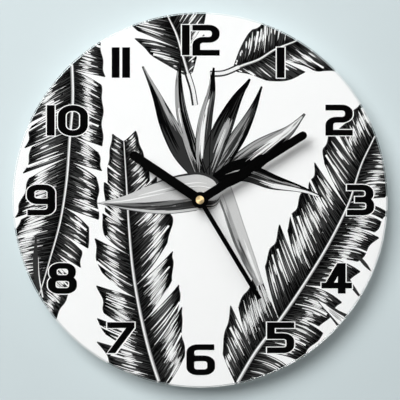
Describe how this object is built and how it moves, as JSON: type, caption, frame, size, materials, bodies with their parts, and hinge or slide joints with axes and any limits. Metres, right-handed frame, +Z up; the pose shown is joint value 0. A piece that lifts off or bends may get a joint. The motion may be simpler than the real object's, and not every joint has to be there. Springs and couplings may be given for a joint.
{
  "type": "round printed-glass wall clock",
  "caption": "Frameless round wall clock: a glass disc with a printed leaf pattern and numerals, black hands on a battery quartz movement, hung from a steel eye.",
  "frame": {"origin": "on the arbor axis of the hands, in the plane of the wall, which is the movement's rear face", "axes": "+X the viewer's right, +Y into the wall so that the dial faces -Y, +Z up towards the 12"},
  "size_m": [0.3, 0.033, 0.3],
  "materials": {
    "dial_glass": "clear float glass, polished edge",
    "dial_print": "screen-printed ink, black and greys on white",
    "white_film": "white vinyl backing film",
    "black_rubber": "matte",
    "brass": "turned",
    "zinc_steel": "zinc plated",
    "steel": "ground",
    "black_case": "spark-eroded moulding",
    "natural_plastic": "acetal, natural",
    "knob_plastic": "moulded grey",
    "bobbin_plastic": "moulded green",
    "ferrite": "sintered",
    "silicon_steel": "stamped",
    "copper_wire": "enamelled copper",
    "board": "solder mask",
    "epoxy": "potted drop",
    "crystal_can": "nickel silver",
    "nickel_strip": "nickel plated",
    "cell_steel": "nickel plated",
    "cell_sleeve": "printed sleeve with no marks",
    "black_hand": "satin black"
  },
  "bodies": {
    "dial_and_case": {"glass_dial": "dial_glass", "ink_layer": "dial_print", "backing_film": "white_film", "wall_spacer_left": "black_rubber", "wall_spacer_right": "black_rubber", "threaded_bush": "brass", "hanging_bracket": "zinc_steel", "rubber_gasket": "black_rubber", "brass_washer": "brass", "hex_nut": "brass", "front_case": "black_case", "rear_cover": "black_case", "train_bridge": "natural_plastic", "stator_plate": "silicon_steel", "coil_core": "silicon_steel", "coil_bobbin": "bobbin_plastic", "coil_winding": "copper_wire", "circuit_board": "board", "clock_chip": "epoxy", "quartz_crystal": "crystal_can", "positive_contact": "nickel_strip", "negative_contact": "nickel_strip"},
    "seconds_train": {"seconds_wheel": "natural_plastic", "seconds_arbor": "steel", "second_hand": "black_hand", "centre_cap": "brass"},
    "minutes_train": {"centre_wheel": "natural_plastic", "clutch_spring": "steel", "minute_pipe": "natural_plastic", "minute_hand": "black_hand", "minute_hand_collet": "brass"},
    "hours_train": {"hour_wheel": "natural_plastic", "hour_hand": "black_hand", "hour_hand_collet": "brass"},
    "rotor": {"rotor_magnet": "ferrite", "rotor_pinion": "natural_plastic"},
    "intermediate": {"intermediate_wheel": "natural_plastic"},
    "third": {"third_wheel": "natural_plastic"},
    "minute_work": {"minute_work_wheel": "natural_plastic"},
    "setting": {"setting_knob": "knob_plastic", "setting_pinion": "natural_plastic"},
    "battery": {"battery_can": "cell_steel", "battery_sleeve": "cell_sleeve"}
  },
  "joints": [
    {"name": "seconds", "type": "hinge", "parent": "dial_and_case", "child": "seconds_train", "pos_m": [0, -0.0314, 0], "axis": [0, 1, 0], "continuous": true},
    {"name": "minutes", "type": "hinge", "parent": "dial_and_case", "child": "minutes_train", "pos_m": [0, -0.0292, 0], "axis": [0, 1, 0], "continuous": true},
    {"name": "hours", "type": "hinge", "parent": "dial_and_case", "child": "hours_train", "pos_m": [0, -0.0266, 0], "axis": [0, 1, 0], "continuous": true},
    {"name": "rotor_spin", "type": "hinge", "parent": "dial_and_case", "child": "rotor", "pos_m": [0.01421, -0.004, 0.00558], "axis": [0, 1, 0], "continuous": true},
    {"name": "intermediate_spin", "type": "hinge", "parent": "dial_and_case", "child": "intermediate", "pos_m": [0.01046, -0.0062, -0.00092], "axis": [0, 1, 0], "continuous": true},
    {"name": "third_spin", "type": "hinge", "parent": "dial_and_case", "child": "third", "pos_m": [-0.00883, -0.0092, 0.0051], "axis": [0, 1, 0], "continuous": true},
    {"name": "minute_work_spin", "type": "hinge", "parent": "dial_and_case", "child": "minute_work", "pos_m": [0.00248, -0.0123, 0.00927], "axis": [0, 1, 0], "continuous": true},
    {"name": "setting_spin", "type": "hinge", "parent": "dial_and_case", "child": "setting", "pos_m": [0.00168, -0.0004, 0.01844], "axis": [0, 1, 0], "continuous": true},
    {"name": "battery_slide", "type": "slide", "parent": "dial_and_case", "child": "battery", "axis": [0, 1, 0], "range_m": [0, 0.02]}
  ],
  "couplings": [
    {"joint": "minutes", "follows": "seconds", "ratio": 0.016667},
    {"joint": "hours", "follows": "seconds", "ratio": 0.0013889},
    {"joint": "rotor_spin", "follows": "seconds", "ratio": 30},
    {"joint": "intermediate_spin", "follows": "seconds", "ratio": -6},
    {"joint": "third_spin", "follows": "seconds", "ratio": -0.13333},
    {"joint": "minute_work_spin", "follows": "seconds", "ratio": -0.0055556},
    {"joint": "setting_spin", "follows": "seconds", "ratio": 0.02}
  ]
}
